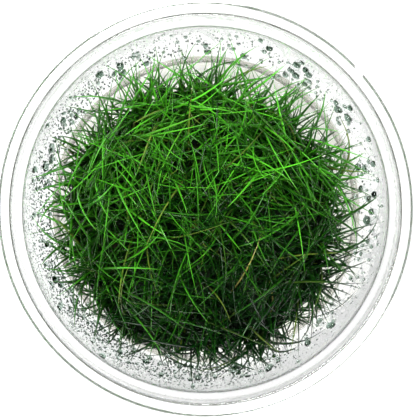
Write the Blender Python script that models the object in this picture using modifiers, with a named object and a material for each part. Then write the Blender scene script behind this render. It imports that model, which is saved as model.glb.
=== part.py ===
"""A clear plastic culture cup of dwarf hairgrass.

The cup is one turned shell with a lidless rim. A slab of clear nutrient gel fills its bottom, and
tufts of hairgrass stand in the gel, each with its roots in a pocket of its own.
Metres, +Z up. The origin is the centre of the foot ring, on the surface that the cup stands on.
"""

import math
import random

import bmesh
import bpy
from mathutils import Matrix, Vector

MM = 0.001

# Driving sizes of the cup
CUP_HEIGHT = 60.0 * MM
RIM_RADIUS = 50.0 * MM
FLANGE_WIDTH = 3.0 * MM
WALL = 0.8 * MM
DRAFT_DEG = 6.3
COLLAR_DEPTH = 7.5 * MM
COLLAR_LEAN = 0.4 * MM
SHOULDER_STEP = 1.1 * MM
SHOULDER_RISE = 1.0 * MM
RIM_THICKNESS = 1.0 * MM
RIM_EDGE_ROUND = 0.5 * MM
MOUTH_ROUND = 0.6 * MM
LIP_DROP = 3.2 * MM
LIP_THICKNESS = 0.9 * MM
BASE_THICKNESS = 1.0 * MM
CORNER_RADIUS = 3.0 * MM
FOOT_HEIGHT = 1.0 * MM
FOOT_WIDTH = 2.0 * MM
FOOT_TAPER = 0.2 * MM

# The small notch in the rim's edge, where the moulding was fed
NOTCH_WIDTH = 2.4 * MM
NOTCH_DEPTH = 0.5 * MM
NOTCH_AZIMUTH_DEG = 42.0

# Driving sizes of the gel
GEL_DEPTH = 10.0 * MM
MENISCUS_RISE = 0.8 * MM
MENISCUS_WIDTH = 1.6 * MM

# Driving sizes of the grass
TUFTS_IN_RINGS = (1, 6, 12)
TUFT_WANDER = 0.8 * MM
GRASS_HEIGHT = 38.0 * MM
SHORTEST_BLADE = 0.66
CROWN_SIDES = 6
CROWN_RADIUS = 1.6 * MM
CROWN_TOP_RADIUS = 1.3 * MM
CROWN_HEIGHT = 1.4 * MM
CROWN_LIFT = 0.1 * MM
GEL_UNDER_ROOTS = 2.5 * MM
SHORTEST_ROOT = 0.7
SEED = 41

# How a tuft's blades spread. A fan is the share of the tuft's room that the tips reach, for the blades
# from the crown's top, the upper half of its sides and the lower half. The bend is a power of height.
TOP_FAN = 0.34
UPPER_FAN = 0.68
LOWER_FAN = 0.98
LEAST_FAN = 0.84
BEND = 1.35
AZIMUTH_WANDER_DEG = 5.0

# Where along a blade its two rings lie, and how thick the blade is there, as shares
BLADE_RINGS = ((0.34, 0.36), (0.70, 0.26))

# Shared by what seats in something else
CLEARANCE = 0.3 * MM
BLADE_CLEARANCE = 0.5 * MM

# How finely the round pieces are cut into facets
TURNED_SEGMENTS = 48
ARC_STEPS = 3
SMOOTH_ANGLE_DEG = 35.0
MERGE_DISTANCE = 0.01 * MM

LEAN = math.tan(math.radians(DRAFT_DEG))
MOUTH_RADIUS = RIM_RADIUS - FLANGE_WIDTH
COLLAR_RADIUS = MOUTH_RADIUS - MOUTH_ROUND
COLLAR_FOOT_RADIUS = COLLAR_RADIUS - COLLAR_LEAN
COLLAR_FOOT_Z = CUP_HEIGHT - COLLAR_DEPTH
SHOULDER_RADIUS = COLLAR_FOOT_RADIUS - SHOULDER_STEP
SHOULDER_Z = COLLAR_FOOT_Z - SHOULDER_RISE
FLOOR_Z = FOOT_HEIGHT + BASE_THICKNESS
GEL_LEVEL = FLOOR_Z + GEL_DEPTH
ROOT_DEPTH = GEL_DEPTH - GEL_UNDER_ROOTS
GOLDEN_ANGLE = math.pi * (3.0 - math.sqrt(5.0))

# Name, colour with its opacity, and roughness of each material
CLEAR_PLASTIC = ("clear_plastic", (0.88, 0.92, 0.92, 0.30), 0.08)
CLEAR_GEL = ("clear_gel", (0.90, 0.90, 0.82, 0.45), 0.15)
GRASS_GREEN = ("grass_green", (0.06, 0.27, 0.03, 1.0), 0.40)


def clear_scene():
    for obj in list(bpy.data.objects):
        bpy.data.objects.remove(obj, do_unlink=True)


def new_collection(name):
    collection = bpy.data.collections.new(name)
    bpy.context.scene.collection.children.link(collection)
    return collection


def material(name, colour, roughness):
    made = bpy.data.materials.get(name)
    if made is None:
        made = bpy.data.materials.new(name)
        made.use_nodes = True
        shader = made.node_tree.nodes["Principled BSDF"]
        shader.inputs["Base Color"].default_value = colour
        shader.inputs["Alpha"].default_value = colour[3]
        shader.inputs["Roughness"].default_value = roughness
        shader.inputs["Metallic"].default_value = 0.0
    return made


def add_object(name, shape, collection):
    """Puts a finished bmesh into a new object of the collection."""
    mesh = bpy.data.meshes.new(name)
    shape.to_mesh(mesh)
    shape.free()
    obj = bpy.data.objects.new(name, mesh)
    collection.objects.link(obj)
    return obj


def turned(name, profile, collection):
    """A profile in the (radius, height) plane turned round the Z axis."""
    line = bmesh.new()
    points = [line.verts.new((radius, 0.0, z)) for radius, z in profile]
    for ends in zip(points, points[1:]):
        line.edges.new(ends)
    obj = add_object(name, line, collection)
    screw = obj.modifiers.new("turn", "SCREW")
    screw.axis = "Z"
    screw.angle = math.tau
    screw.steps = TURNED_SEGMENTS
    screw.render_steps = TURNED_SEGMENTS
    screw.use_merge_vertices = True
    screw.merge_threshold = MERGE_DISTANCE
    return obj


def cut_by(obj, cutters):
    """Cuts every object of a collection out of obj."""
    for cutter in cutters.objects:
        cutter.hide_render = True
        cutter.display_type = "WIRE"
    cut = obj.modifiers.new("cut", "BOOLEAN")
    cut.operation = "DIFFERENCE"
    cut.operand_type = "COLLECTION"
    cut.collection = cutters
    cut.solver = "EXACT"


def finish(obj, finish_values):
    """Makes the modifiers' result the object's own mesh, shades it smooth between sharp edges and paints it."""
    bpy.context.view_layer.update()
    graph = bpy.context.evaluated_depsgraph_get()
    mesh = bpy.data.meshes.new_from_object(obj.evaluated_get(graph))
    mesh.name = obj.name
    obj.modifiers.clear()
    obj.data = mesh
    mesh.shade_smooth()
    mesh.set_sharp_from_angle(angle=math.radians(SMOOTH_ANGLE_DEG))
    mesh.materials.clear()
    mesh.materials.append(material(*finish_values))


# The cup's inner skin: a flat floor, a rounded corner and a wall that leans out to the shoulder


def arc(centre, radius, start, end):
    """Points of an arc in the (radius, height) plane, both ends included."""
    angles = [start + (end - start) * i / ARC_STEPS for i in range(ARC_STEPS + 1)]
    return [(centre[0] + radius * math.cos(a), centre[1] + radius * math.sin(a)) for a in angles]


def wall_radius(z):
    """Radius of the inner wall at height z, between the floor and the shoulder."""
    return SHOULDER_RADIUS - (SHOULDER_Z - z) * LEAN


def wall_point(z, inset):
    """A point of the wall at height z, moved into the cup by inset."""
    return (wall_radius(z) - inset * math.hypot(1.0, LEAN), z)


def corner(inset):
    """The rounded corner between floor and wall, from the floor up, moved into the cup by inset."""
    draft = math.radians(DRAFT_DEG)
    tangent = CORNER_RADIUS * math.tan((math.pi / 2 - draft) / 2)
    centre = (wall_radius(FLOOR_Z) - tangent, FLOOR_Z + CORNER_RADIUS)
    return arc(centre, CORNER_RADIUS - inset, -math.pi / 2, -draft)


def cup_profile():
    """The cup's section: from the middle of the floor up the inside, over the rim and down the outside."""
    inside = [(0.0, FLOOR_Z)]
    inside += corner(0.0)
    inside += [wall_point(SHOULDER_Z, 0.0), (COLLAR_FOOT_RADIUS, COLLAR_FOOT_Z)]
    mouth = (MOUTH_RADIUS, CUP_HEIGHT - MOUTH_ROUND)
    inside += arc(mouth, MOUTH_ROUND, math.pi, math.pi / 2)
    edge = (RIM_RADIUS - RIM_EDGE_ROUND, CUP_HEIGHT - RIM_EDGE_ROUND)
    rim = arc(edge, RIM_EDGE_ROUND, math.pi / 2, 0.0)
    rim += [
        (RIM_RADIUS, CUP_HEIGHT - LIP_DROP),
        (RIM_RADIUS - LIP_THICKNESS, CUP_HEIGHT - LIP_DROP),
        (RIM_RADIUS - LIP_THICKNESS, CUP_HEIGHT - RIM_THICKNESS),
    ]
    outside = [
        (COLLAR_RADIUS + WALL, CUP_HEIGHT - RIM_THICKNESS),
        (COLLAR_FOOT_RADIUS + WALL, COLLAR_FOOT_Z),
        wall_point(SHOULDER_Z, -WALL),
    ]
    outside += corner(-WALL)[::-1]
    foot_radius = outside[-1][0] - FOOT_TAPER
    foot = [
        (foot_radius, 0.0),
        (foot_radius - FOOT_WIDTH, 0.0),
        (foot_radius - FOOT_WIDTH - FOOT_TAPER, FOOT_HEIGHT),
        (0.0, FOOT_HEIGHT),
    ]
    return inside + rim + outside + foot


def make_cup(parts):
    cup = turned("cup", cup_profile(), parts)
    cutters = new_collection("rim_cutters")
    block = bmesh.new()
    bmesh.ops.create_cube(block, size=1.0)
    bmesh.ops.scale(block, vec=(2 * NOTCH_DEPTH, NOTCH_WIDTH, 4 * LIP_DROP), verts=block.verts)
    notch = add_object("rim_notch", block, cutters)
    azimuth = math.radians(NOTCH_AZIMUTH_DEG)
    notch.location = (RIM_RADIUS * math.cos(azimuth), RIM_RADIUS * math.sin(azimuth), CUP_HEIGHT)
    notch.rotation_euler.z = azimuth
    cut_by(cup, cutters)
    finish(cup, CLEAR_PLASTIC)


def gel_profile():
    """The gel's section: its level top, the low rise at the wall, and its skin a clearance off the cup."""
    edge_radius, edge_z = wall_point(GEL_LEVEL + MENISCUS_RISE, CLEARANCE)
    top = [
        (0.0, GEL_LEVEL),
        (edge_radius - MENISCUS_WIDTH, GEL_LEVEL),
        (edge_radius - MENISCUS_WIDTH / 3, GEL_LEVEL + MENISCUS_RISE / 3),
        (edge_radius, edge_z),
    ]
    return top + corner(CLEARANCE)[::-1] + [(0.0, FLOOR_Z + CLEARANCE)]


def make_pocket(index, place, cutters):
    """The space that a tuft's roots take in the gel: a clearance wider and deeper than they are."""
    radius = CROWN_RADIUS + CLEARANCE / math.cos(math.pi / CROWN_SIDES)
    top = MENISCUS_RISE
    bottom = -ROOT_DEPTH - CLEARANCE
    prism = bmesh.new()
    bmesh.ops.create_cone(
        prism,
        cap_ends=True,
        segments=CROWN_SIDES,
        radius1=radius,
        radius2=radius,
        depth=top - bottom,
        matrix=Matrix.Translation((0.0, 0.0, (top + bottom) / 2)),
    )
    stand(add_object(f"pocket_{index + 1:02d}", prism, cutters), index, place)


def make_gel(places, parts):
    gel = turned("gel", gel_profile(), parts)
    cutters = new_collection("pocket_cutters")
    for index, place in enumerate(places):
        make_pocket(index, place, cutters)
    cut_by(gel, cutters)
    finish(gel, CLEAR_GEL)


# Where the tufts stand, and the room that each has


def tuft_places():
    """Places on the gel in rings about the middle, each moved a little at random."""
    chance = random.Random(SEED)
    reach = wall_radius(GEL_LEVEL) - CLEARANCE
    outermost = reach / (1.0 + math.sin(math.pi / TUFTS_IN_RINGS[-1]))
    places = []
    for ring, count in enumerate(TUFTS_IN_RINGS):
        radius = outermost * ring / (len(TUFTS_IN_RINGS) - 1)
        for i in range(count):
            azimuth = math.tau * (i + ring / 2) / count
            place = Vector((radius * math.cos(azimuth), radius * math.sin(azimuth)))
            heading = chance.uniform(0.0, math.tau)
            step = TUFT_WANDER * chance.random()
            places.append(place + Vector((math.cos(heading), math.sin(heading))) * step)
    return places


def room_round(place, places):
    """How far a tuft may reach at the gel's level before it meets a neighbour's room or the wall."""
    to_wall = wall_radius(GEL_LEVEL) - CLEARANCE - place.length
    return min([to_wall] + [(place - other).length / 2 for other in places if other != place])


def tuft_turn(index):
    """How far a tuft, and its pocket with it, is turned about its own middle."""
    return index * GOLDEN_ANGLE


def stand(obj, index, place):
    obj.location = (place.x, place.y, GEL_LEVEL)
    obj.rotation_euler.z = tuft_turn(index)


def spine_point(place, room, azimuth, start, fan, z):
    """The middle of a blade at height z over the gel, measured from the foot of its crown.

    One law of height holds for every blade of every tuft, so that none crosses another: each tuft
    widens and leans out as the cup does, and a blade leaves its tuft's middle line sideways.
    """
    widening = wall_radius(GEL_LEVEL + z) / wall_radius(GEL_LEVEL)
    share = max(0.0, z / GRASS_HEIGHT) ** BEND
    end = fan * (room - BLADE_CLEARANCE) * widening
    out = start + (end - start) * share
    side = Vector((math.cos(azimuth), math.sin(azimuth))) * out
    return (place * (widening - 1.0) + side).to_3d() + Vector((0.0, 0.0, z))


def draw_out(shape, face, rings, tip):
    """Draws a face out to a point: through a smaller copy of itself at each (place, size), square to the way."""
    normal = face.normal.copy()
    here = face.calc_center_median()
    outline = [vertex.co - here for vertex in face.verts]
    places = [place for place, _ in rings] + [tip]
    for (place, size), ahead in zip(rings, places[1:]):
        face = bmesh.ops.extrude_discrete_faces(shape, faces=[face])["faces"][0]
        square = normal.rotation_difference(ahead - here)
        for vertex, offset in zip(face.verts, outline):
            vertex.co = place + square @ (offset * size)
        here = place
    point = bmesh.ops.poke(shape, faces=[face])["verts"][0]
    point.co = tip


def draw_root(shape, face, chance):
    """Draws a triangle of the crown's underside straight down to a root's point."""
    middle = face.calc_center_median()
    depth = ROOT_DEPTH * chance.uniform(SHORTEST_ROOT, 1.0)
    draw_out(shape, face, [], Vector((middle.x, middle.y, -depth)))


def draw_blade(shape, face, place, room, chance):
    """Draws a triangle of the crown's top or sides up and out into a blade."""
    middle = face.calc_center_median()
    if face.normal.z > 0.5:
        fan = TOP_FAN
    elif middle.z > CROWN_LIFT + CROWN_HEIGHT / 2:
        fan = UPPER_FAN
    else:
        fan = LOWER_FAN
    fan *= chance.uniform(LEAST_FAN, 1.0)
    wander = math.radians(AZIMUTH_WANDER_DEG)
    azimuth = math.atan2(middle.y, middle.x) + chance.uniform(-wander, wander)
    tip_z = GRASS_HEIGHT * chance.uniform(SHORTEST_BLADE, 1.0)

    def spine(share):
        z = middle.z + (tip_z - middle.z) * share
        return spine_point(place, room, azimuth, middle.xy.length, fan, z)

    draw_out(shape, face, [(spine(share), size) for share, size in BLADE_RINGS], spine(1.0))


def make_crown(shape):
    """A low drum of triangles: fans on its ends, and sides that zigzag, as its top is turned half a facet."""
    bmesh.ops.create_cone(
        shape,
        cap_ends=True,
        cap_tris=True,
        segments=CROWN_SIDES,
        radius1=CROWN_RADIUS,
        radius2=CROWN_TOP_RADIUS,
        depth=CROWN_HEIGHT,
        matrix=Matrix.Translation((0.0, 0.0, CROWN_LIFT + CROWN_HEIGHT / 2)),
    )
    top = [vertex for vertex in shape.verts if vertex.co.z > CROWN_LIFT + CROWN_HEIGHT / 2]
    half_facet = Matrix.Rotation(math.pi / CROWN_SIDES, 3, "Z")
    bmesh.ops.rotate(shape, verts=top, matrix=half_facet)
    sides = [face for face in shape.faces if len(face.verts) == 4]
    bmesh.ops.triangulate(shape, faces=sides, quad_method="SHORT_EDGE")
    shape.normal_update()


def make_tuft(index, place, room, parts):
    """One plant: a crown whose top and sides are drawn out into blades, and its underside into roots."""
    chance = random.Random(SEED + index)
    shape = bmesh.new()
    make_crown(shape)
    own_place = Matrix.Rotation(-tuft_turn(index), 2) @ place
    for face in list(shape.faces):
        if face.normal.z < -0.5:
            draw_root(shape, face, chance)
        else:
            draw_blade(shape, face, own_place, room, chance)
    tuft = add_object(f"tuft_{index + 1:02d}", shape, parts)
    stand(tuft, index, place)
    finish(tuft, GRASS_GREEN)


def main():
    clear_scene()
    parts = new_collection("dwarf_hairgrass_cup")
    places = tuft_places()
    make_cup(parts)
    make_gel(places, parts)
    for index, place in enumerate(places):
        make_tuft(index, place, room_round(place, places), parts)


main()
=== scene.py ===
"""Looks of a clear plastic culture cup of dwarf hairgrass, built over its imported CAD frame."""

import math

import bpy
import numpy as np
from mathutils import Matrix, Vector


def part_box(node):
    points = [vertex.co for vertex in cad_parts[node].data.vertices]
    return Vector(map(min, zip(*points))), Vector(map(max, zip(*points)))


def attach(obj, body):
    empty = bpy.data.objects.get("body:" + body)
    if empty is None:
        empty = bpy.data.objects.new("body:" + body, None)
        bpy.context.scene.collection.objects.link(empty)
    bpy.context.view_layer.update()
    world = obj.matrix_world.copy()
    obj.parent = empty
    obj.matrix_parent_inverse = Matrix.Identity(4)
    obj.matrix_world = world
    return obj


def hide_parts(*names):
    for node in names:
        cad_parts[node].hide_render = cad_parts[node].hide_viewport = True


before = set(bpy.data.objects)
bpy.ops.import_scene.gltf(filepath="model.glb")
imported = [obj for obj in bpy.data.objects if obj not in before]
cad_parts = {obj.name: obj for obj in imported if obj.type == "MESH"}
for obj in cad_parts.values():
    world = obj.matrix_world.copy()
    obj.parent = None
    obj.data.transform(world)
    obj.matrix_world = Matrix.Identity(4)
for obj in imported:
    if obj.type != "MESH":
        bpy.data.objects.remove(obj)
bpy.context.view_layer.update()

bl_info = {
    "name": "Hairgrass culture cup",
    "version": (1, 0, 0),
    "blender": (4, 5, 0),
    "location": "3D View > Sidebar > Culture cup",
    "description": "A clear cup of dwarf hairgrass with gel, roots and condensation",
    "category": "Add Mesh",
}

MM = 0.001
BODY = "root"
CUP_NODE = "cup"
GEL_NODE = "gel"
TUFT_NODES = sorted(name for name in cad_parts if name.startswith("tuft"))

# Sizes that come from the frame
RIM_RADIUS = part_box(CUP_NODE)[1].x
CUP_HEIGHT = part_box(CUP_NODE)[1].z
GEL_EDGE_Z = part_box(GEL_NODE)[1].z
GEL_BOTTOM_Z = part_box(GEL_NODE)[0].z
TUFTS_TOP = max(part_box(node)[1].z for node in TUFT_NODES)

# Sizes of the cup's section, as in the CAD
FLANGE_WIDTH = 3.0 * MM
WALL = 0.8 * MM
DRAFT = math.radians(6.3)
COLLAR_DEPTH = 7.5 * MM
COLLAR_LEAN = 0.4 * MM
SHOULDER_STEP = 1.1 * MM
SHOULDER_RISE = 1.0 * MM
RIM_THICKNESS = 1.0 * MM
RIM_EDGE_ROUND = 1.2 * MM
MOUTH_ROUND = 0.6 * MM
LIP_DROP = 3.2 * MM
LIP_THICKNESS = 0.9 * MM
CORNER_RADIUS = 3.0 * MM
FOOT_HEIGHT = 1.0 * MM
FOOT_WIDTH = 2.0 * MM
FOOT_TAPER = 0.2 * MM
FLOOR_Z = 2.0 * MM
NOTCH_WIDTH = 2.4 * MM
NOTCH_DEPTH = 0.5 * MM
NOTCH_AZIMUTH = math.radians(42.0)
MENISCUS_RISE = 0.8 * MM

# Sizes that follow from them
NOTCH_HALF_ANGLE = NOTCH_WIDTH / 2 / RIM_RADIUS
GEL_LEVEL = GEL_EDGE_Z - MENISCUS_RISE
MOUTH_RADIUS = RIM_RADIUS - FLANGE_WIDTH
COLLAR_RADIUS = MOUTH_RADIUS - MOUTH_ROUND
COLLAR_FOOT_RADIUS = COLLAR_RADIUS - COLLAR_LEAN
COLLAR_FOOT_Z = CUP_HEIGHT - COLLAR_DEPTH
SHOULDER_RADIUS = COLLAR_FOOT_RADIUS - SHOULDER_STEP
SHOULDER_Z = COLLAR_FOOT_Z - SHOULDER_RISE
LEAN = math.tan(DRAFT)

# Steps in each rounded edge, and the radius of the ring that keeps the flat floor's faces even
ARC_STEPS = 6
FLOOR_RING = 20 * MM

WHITE = (1.0, 1.0, 1.0, 1.0)


# Shader expressions


class Signal:
    """What travels through nodes: arithmetic on it adds the nodes that do the sum."""

    def __init__(self, nodes, socket):
        self.nodes = nodes
        self.socket = socket

    def sum_with(self, operation, first, second):
        values = (first, second)
        sockets = [v.socket for v in values if isinstance(v, Signal)]
        wide = any(socket.type in ("RGBA", "VECTOR") for socket in sockets)
        kind = "ShaderNodeVectorMath" if wide else "ShaderNodeMath"
        if wide:
            values = [(v, v, v) if isinstance(v, (int, float)) else v for v in values]
        return self.nodes.add(kind, {"operation": operation}, {0: values[0], 1: values[1]})

    def __add__(self, other):
        return self.sum_with("ADD", self, other)

    def __radd__(self, other):
        return self.sum_with("ADD", other, self)

    def __sub__(self, other):
        return self.sum_with("SUBTRACT", self, other)

    def __rsub__(self, other):
        return self.sum_with("SUBTRACT", other, self)

    def __mul__(self, other):
        return self.sum_with("MULTIPLY", self, other)

    def __rmul__(self, other):
        return self.sum_with("MULTIPLY", other, self)


class Nodes:
    """The one way in which nodes are added, to a material or to the sky."""

    def __init__(self, tree):
        self.tree = tree

    def add(self, kind, settings=None, inputs=None, output=0):
        """Adds a node, sets it up, feeds its sockets with values or signals, returns one output."""
        node = self.tree.nodes.new(kind)
        for name, value in (settings or {}).items():
            if name == "stops":
                self.set_stops(node.color_ramp.elements, value)
            else:
                setattr(node, name, value)
        for place, value in (inputs or {}).items():
            self.feed(node.inputs[place], value)
        return Signal(self, node.outputs[output])

    def feed(self, socket, value):
        if isinstance(value, Signal):
            self.tree.links.new(value.socket, socket)
        else:
            socket.default_value = value

    def set_stops(self, elements, stops):
        while len(elements) > 1:
            elements.remove(elements[-1])
        elements[0].position, elements[0].color = stops[0]
        for position, shade in stops[1:]:
            elements.new(position).color = shade


class Finish(Nodes):
    """A new material with one Principled shader."""

    def __init__(self, name):
        self.material = bpy.data.materials.new(name)
        self.material.use_nodes = True
        super().__init__(self.material.node_tree)
        self.shader = self.tree.nodes["Principled BSDF"]

    def set(self, **values):
        """Feeds the shader's sockets, whose names are written with _ for a space."""
        for name, value in values.items():
            self.feed(self.shader.inputs[name.replace("_", " ")], value)

    def blend(self, share, first, second):
        """The colour that lies between first and second."""
        settings = {"data_type": "RGBA"}
        return self.add("ShaderNodeMix", settings, {0: share, 6: first, 7: second}, output=2)

    def clamp(self, value):
        """The value kept between 0 and 1."""
        return self.add("ShaderNodeClamp", None, {"Value": value})

    def between(self, value, low, high):
        """0 where value is at low and 1 where it is at high, smooth between them."""
        settings = {"interpolation_type": "SMOOTHSTEP"}
        inputs = {"Value": value, "From Min": low, "From Max": high}
        return self.add("ShaderNodeMapRange", settings, inputs)

    def noise(self, size, detail=3.0, roughness=0.5):
        """Noise whose lumps are about size wide, in metres."""
        place = self.add("ShaderNodeTexCoord", output=3) * (1.0 / size)
        inputs = {"Vector": place, "Scale": 1.0, "Detail": detail, "Roughness": roughness}
        return self.add("ShaderNodeTexNoise", None, inputs)

    def bump(self, height, depth):
        """The surface's normal over bumps that are depth deep, in metres."""
        return self.add("ShaderNodeBump", None, {"Height": height, "Distance": depth})

    def absorb(self, tint, density):
        """Tints what is seen through the piece, the more the thicker it is."""
        inputs = {"Color": colour(tint), "Density": density}
        volume = self.add("ShaderNodeVolumeAbsorption", None, inputs)
        self.feed(self.tree.nodes["Material Output"].inputs["Volume"], volume)


def colour(value):
    return (value[0], value[1], value[2], 1.0)


def colour_property(name, description, default):
    """A colour that the user can change."""
    limits = {"min": 0.0, "max": 1.0, "size": 3}
    return bpy.props.FloatVectorProperty(
        name=name, description=description, default=default, subtype="COLOR", **limits
    )


# Mesh tools


def add_piece(name, points, faces, finishes, *nodes, slot_name, finish_of_face=None):
    """A new smooth-shaded object of the cup, which stands for the CAD nodes that are named."""
    mesh = bpy.data.meshes.new(name)
    mesh.from_pydata(points, [], faces)
    mesh.shade_smooth()
    for finish in finishes:
        mesh.materials.append(finish.material)
    if finish_of_face is not None:
        mesh.polygons.foreach_set("material_index", finish_of_face)
    piece = bpy.data.objects.new(name, mesh)
    bpy.context.scene.collection.objects.link(piece)
    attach(piece, BODY)
    if nodes:
        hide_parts(*nodes)
    return piece


def bands(rows, around):
    """Four-sided faces between rows of around points each."""
    here = np.arange(around)
    after = (here + 1) % around
    low = np.arange(rows - 1)[:, None] * around
    high = low + around
    return np.stack([low + here, high + here, high + after, low + after], axis=2).reshape(-1, 4)


def fan(row, around, point, turned_over=False):
    """Three-sided faces from a row of around points to one point."""
    here = row * around + np.arange(around)
    after = row * around + (np.arange(around) + 1) % around
    edge = [here, after] if turned_over else [after, here]
    return np.stack([*edge, np.full(around, point)], axis=1)


def closed_faces(rows, around):
    """Faces of rows of points that two more points close: one at the first row, one at the last."""
    end = rows * around
    caps = [fan(0, around, end, turned_over=True), fan(rows - 1, around, end + 1)]
    return bands(rows, around), np.concatenate(caps)


def copies(faces, count, size):
    """The same faces on each of count like shapes, which have size points each."""
    first = (np.arange(count) * size)[:, None, None]
    return (faces[None] + first).reshape(-1, faces.shape[1]).tolist()


def turned(profile, azimuths):
    """Points and faces of a (radius, height) profile turned round the axis, closed at both ends."""
    ring = len(azimuths)
    inner = np.array(profile[1:-1])
    around = np.stack([np.cos(azimuths), np.sin(azimuths)], axis=1)
    sides = inner[:, None, 0, None] * around[None]
    heights = np.repeat(inner[:, 1], ring).reshape(-1, ring, 1)
    body = np.concatenate([sides, heights], axis=2).reshape(-1, 3)
    ends = np.array([(0.0, 0.0, profile[0][1]), (0.0, 0.0, profile[-1][1])])
    quads, caps = closed_faces(len(inner), ring)
    return np.concatenate([body, ends]), quads.tolist() + caps.tolist()


def arc(centre, radius, start, end):
    angles = np.linspace(start, end, ARC_STEPS + 1)
    return [(centre[0] + radius * math.cos(a), centre[1] + radius * math.sin(a)) for a in angles]


def wall_radius(z):
    """Radius of the inner wall at height z, between the floor and the shoulder."""
    return SHOULDER_RADIUS - (SHOULDER_Z - z) * LEAN


def wall_point(z, inset):
    return (wall_radius(z) - inset * math.hypot(1.0, LEAN), z)


def corner(inset):
    """The rounded corner between floor and wall, from the floor up, moved into the cup by inset."""
    tangent = CORNER_RADIUS * math.tan((math.pi / 2 - DRAFT) / 2)
    centre = (wall_radius(FLOOR_Z) - tangent, FLOOR_Z + CORNER_RADIUS)
    return arc(centre, CORNER_RADIUS - inset, -math.pi / 2, -DRAFT)


# Moulded edges: how far an edge is eased along each side, the most that it takes of a side, the
# least turn that counts as an edge, and the steps in it
EDGE_EASE = 0.18 * MM
MOST_OF_SIDE = 0.4
LEAST_TURN = math.radians(12)
EASE_STEPS = (0.0, 0.33, 0.67, 1.0)


def softened(profile):
    """The profile with each edge between straight stretches eased, so that it catches light."""
    points = [np.array(p) for p in profile]
    eased = [points[0]]
    for before, here, after in zip(points, points[1:], points[2:]):
        back, ahead = before - here, after - here
        back_length, ahead_length = np.linalg.norm(back), np.linalg.norm(ahead)
        turn = math.acos(np.clip(-back @ ahead / (back_length * ahead_length), -1, 1))
        if turn < LEAST_TURN:
            eased.append(here)
            continue
        cut = min(EDGE_EASE, min(back_length, ahead_length) * MOST_OF_SIDE)
        start = here + back / back_length * cut
        end = here + ahead / ahead_length * cut
        for t in EASE_STEPS:
            eased.append((1 - t) ** 2 * start + 2 * t * (1 - t) * here + t * t * end)
    eased.append(points[-1])
    return [(float(p[0]), float(p[1])) for p in eased]


# The cup

# The soft bend at the shoulder: how far it reaches below and above, and its steps
BEND_BELOW = 3.2 * MM
BEND_ABOVE = 2.0 * MM
BEND_STEPS = 10
WALL_HEIGHTS = (20 * MM, 36 * MM)

# Angles in the rim: how steep the notch's ends are, and the least step next to them
NOTCH_FLANK = 0.0008
LEAST_STEP = 0.004
CUP_SHARP = math.radians(50)


def eased_shoulder(out):
    """The step from the wall out to the collar, as one soft double bend, further out by out."""
    low, high = SHOULDER_Z - BEND_BELOW, COLLAR_FOOT_Z + BEND_ABOVE
    points = []
    for t in np.linspace(0.0, 1.0, BEND_STEPS + 1):
        z = low + (high - low) * t
        before = wall_radius(z)
        climb = (z - COLLAR_FOOT_Z) * COLLAR_LEAN / (COLLAR_DEPTH - MOUTH_ROUND)
        after = COLLAR_FOOT_RADIUS + climb
        share = t * t * (3 - 2 * t)
        points.append((float(before + (after - before) * share + out), float(z)))
    return points


def cup_profile():
    """The cup's section: from the floor's middle up the inside, over the rim, down the outside."""
    inside = [(0.0, FLOOR_Z), (FLOOR_RING, FLOOR_Z)]
    inside += corner(0.0)
    inside += [wall_point(z, 0.0) for z in WALL_HEIGHTS]
    inside += eased_shoulder(0.0)
    mouth = (MOUTH_RADIUS, CUP_HEIGHT - MOUTH_ROUND)
    inside += arc(mouth, MOUTH_ROUND, math.pi, math.pi / 2)
    edge = (RIM_RADIUS - RIM_EDGE_ROUND, CUP_HEIGHT - RIM_EDGE_ROUND)
    rim = arc(edge, RIM_EDGE_ROUND, math.pi / 2, 0.0)
    bead = (RIM_RADIUS - LIP_THICKNESS / 2, CUP_HEIGHT - LIP_DROP + LIP_THICKNESS / 2)
    rim += arc(bead, LIP_THICKNESS / 2, 0.0, -math.pi)
    rim += [(RIM_RADIUS - LIP_THICKNESS, CUP_HEIGHT - RIM_THICKNESS)]
    outside = [(COLLAR_RADIUS + WALL, CUP_HEIGHT - RIM_THICKNESS)]
    outside += eased_shoulder(WALL)[::-1]
    outside += corner(-WALL)[::-1]
    foot_radius = outside[-1][0] - FOOT_TAPER
    foot = [
        (foot_radius, 0.0),
        (foot_radius - FOOT_WIDTH, 0.0),
        (foot_radius - FOOT_WIDTH - FOOT_TAPER, FOOT_HEIGHT),
        (0.0, FOOT_HEIGHT),
    ]
    return softened(inside + rim + outside + foot)


def cup_finish(settings):
    """Clear moulded plastic: a faint tint in its thickness, and soft flow ripples on its skin."""
    finish = Finish("clear_moulded_plastic")
    ripple = finish.noise(9 * MM, detail=2.0)
    grain = finish.noise(0.5 * MM, detail=4.0)
    smear = finish.noise(4 * MM, detail=5.0, roughness=0.6)
    finish.set(
        Base_Color=WHITE,
        Roughness=0.02 + 0.08 * finish.between(smear, 0.45, 0.75),
        IOR=1.49,
        Transmission_Weight=1.0,
        Normal=finish.bump(ripple + 0.02 * grain, 0.05 * MM),
    )
    finish.absorb(settings.tint, settings.tint_density)
    return finish


def notched_azimuths(count):
    """Even azimuths round the cup, with two more close to each end of the rim's notch."""
    ends = [NOTCH_AZIMUTH + side * NOTCH_HALF_ANGLE for side in (-1, 1)]
    edges = [end + step for end in ends for step in (-NOTCH_FLANK, NOTCH_FLANK)]
    even = [
        a
        for a in np.arange(count) * math.tau / count
        if min(abs(a - e) for e in edges) > LEAST_STEP
    ]
    return np.array(sorted(even + edges))


class CupSettings(bpy.types.PropertyGroup):
    facets: bpy.props.IntProperty(
        name="Facets", description="Facets round the cup", default=256, min=48, max=512
    )
    tint: colour_property(
        "Tint", "Colour that the plastic takes on where it is thick", (0.62, 0.72, 0.68)
    )
    tint_density: bpy.props.FloatProperty(
        name="Tint density",
        description="How strongly a metre of the plastic is tinted",
        default=8.0,
        min=0.0,
    )


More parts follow.
